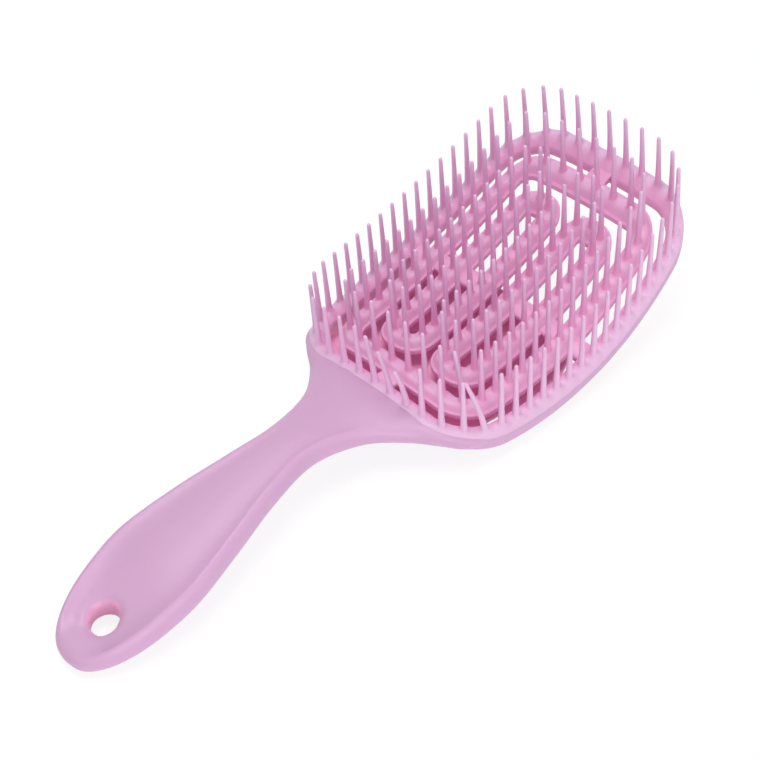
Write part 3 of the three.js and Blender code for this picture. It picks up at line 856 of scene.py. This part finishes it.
# %% Give both mouldings their plastic
# Second tints: painted pinker bounce light in the frame's well and hole; painted paler light on pins and bar
# tops, and a paler ring beside the rim.
lilac = satin_plastic("lilac satin plastic", (0.665, 0.40, 0.615), (0.635, 0.375, 0.585),
                      "painted_recess_light", (0.98, 0.47, 0.71))
pink = satin_plastic("pink satin plastic", (0.86, 0.455, 0.69), (0.83, 0.425, 0.66),
                     "painted_light_and_rim_blend", (0.78, 0.50, 0.715))
for piece, plastic in ((handle, lilac), *((piece, pink) for piece in lattice)):
    piece.data.materials.clear()
    piece.data.materials.append(plastic)
for piece in lattice:
    piece.data.shade_smooth()
print("finishes:", lilac.name, "and", pink.name)

# %% [markdown]
# ## What each piece rides on
#
# The frame, the outer ring and the middle loop are one body. Each inner loop rocks on its tie and rides on a
# body of its own. The ties ride on no body; their place is only baked into their points.

# %% Ride on the bodies of the imported model
for piece, node, body, slot in (
    (handle, "handle_frame", "frame", "lilac_plastic"),
    (ring, "outer_pin_ring", "frame", "pink_plastic"),
    (loop, "middle_pin_loop", "frame", "pink_plastic"),
    (pads["left"], "left_pin_loop", "left_pad", "pink_plastic"),
    (pads["right"], "right_pin_loop", "right_pad", "pink_plastic"),
):
    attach(piece, body)
    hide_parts(node)

for side, word in ((1, "left"), (-1, "right")):
    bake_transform(ties[word])
print("pieces:", len(lattice) + 1)

# %% [markdown]
# ## Floor, light and background
#
# The brush lies on a pale floor. Large soft lamps and an even sky light it at a plain level, so that a colour
# comes out about as it is written. A brighter lamp would wash out the brush before the floor turns white. So
# the floor adds some light of its own where it is seen, directly or in a reflection, and keeps the shadow.

# %% Floor
def seen_directly(nodes, links):
    path = nodes.new("ShaderNodeLightPath")
    seen = path.outputs["Is Camera Ray"]
    for way in ("Is Glossy Ray", "Is Transmission Ray"):
        either = nodes.new("ShaderNodeMath")
        either.operation = "MAXIMUM"
        links.new(seen, either.inputs[0])
        links.new(path.outputs[way], either.inputs[1])
        seen = either.outputs[0]
    return seen


floor_half, floor_drop = 3, 0.0002
floor_plan = [(x * floor_half, y * floor_half) for x, y in ((-1, -1), (1, -1), (1, 1), (-1, 1))]
floor_mesh = bpy.data.meshes.new("floor")
floor_mesh.from_pydata([(x, y, -floor_drop) for x, y in floor_plan], [], [(0, 1, 2, 3)])
floor = bpy.data.objects.new("floor", floor_mesh)
scene.collection.objects.link(floor)
print("floor:", 2 * floor_half, "m wide")

# %% Paper of the floor
paper, nodes, links = new_material("white paper")
lit = nodes["Principled BSDF"]
lit.inputs["Base Color"].default_value = (0.95, 0.95, 0.95, 1)
lit.inputs["Roughness"].default_value = 0.9
lit.inputs["Specular IOR Level"].default_value = 0.1
seen = nodes.new("ShaderNodeAddShader")
pale = nodes.new("ShaderNodeBsdfDiffuse")
pale.inputs["Color"].default_value = (0.2, 0.2, 0.2, 1)
glow = nodes.new("ShaderNodeEmission")
glow.inputs["Strength"].default_value = 0.84
links.new(pale.outputs[0], seen.inputs[0])
links.new(glow.outputs[0], seen.inputs[1])
either_way = nodes.new("ShaderNodeMixShader")
links.new(seen_directly(nodes, links), either_way.inputs[0])
links.new(lit.outputs[0], either_way.inputs[1])
links.new(seen.outputs[0], either_way.inputs[2])
links.new(either_way.outputs[0], nodes["Material Output"].inputs["Surface"])
floor_mesh.materials.append(paper)
print("floor is", paper.name)

# %% Sky and lamps
world = bpy.data.worlds.new("soft sky")
scene.world = world
world.use_nodes = True
nodes, links = world.node_tree.nodes, world.node_tree.links
sky = nodes["Background"]
sky.inputs["Color"].default_value = (1, 1, 1, 1)
sky_strength = nodes.new("ShaderNodeMapRange")
sky_strength.inputs["To Min"].default_value = 0.4
sky_strength.inputs["To Max"].default_value = 1.0
links.new(seen_directly(nodes, links), sky_strength.inputs["Value"])
links.new(sky_strength.outputs["Result"], sky.inputs["Strength"])

lamps_aim_at = Vector((0, 0, 20)) * MM


def soft_lamp(name, place, size, power):
    lamp_data = bpy.data.lights.new(name, "AREA")
    lamp_data.shape = "DISK"
    lamp_data.size = size
    lamp_data.energy = power
    lamp = bpy.data.objects.new(name, lamp_data)
    lamp.location = place
    lamp.rotation_euler = (lamps_aim_at - Vector(place)).to_track_quat("-Z", "Y").to_euler()
    scene.collection.objects.link(lamp)


soft_lamp("top lamp", (0.1, 0.1, 1.1), 0.7, 6.6)
soft_lamp("side lamp", (-0.5, -0.85, 0.25), 0.7, 4.6)
scene.view_settings.view_transform = "Standard"
print("lamps ready")
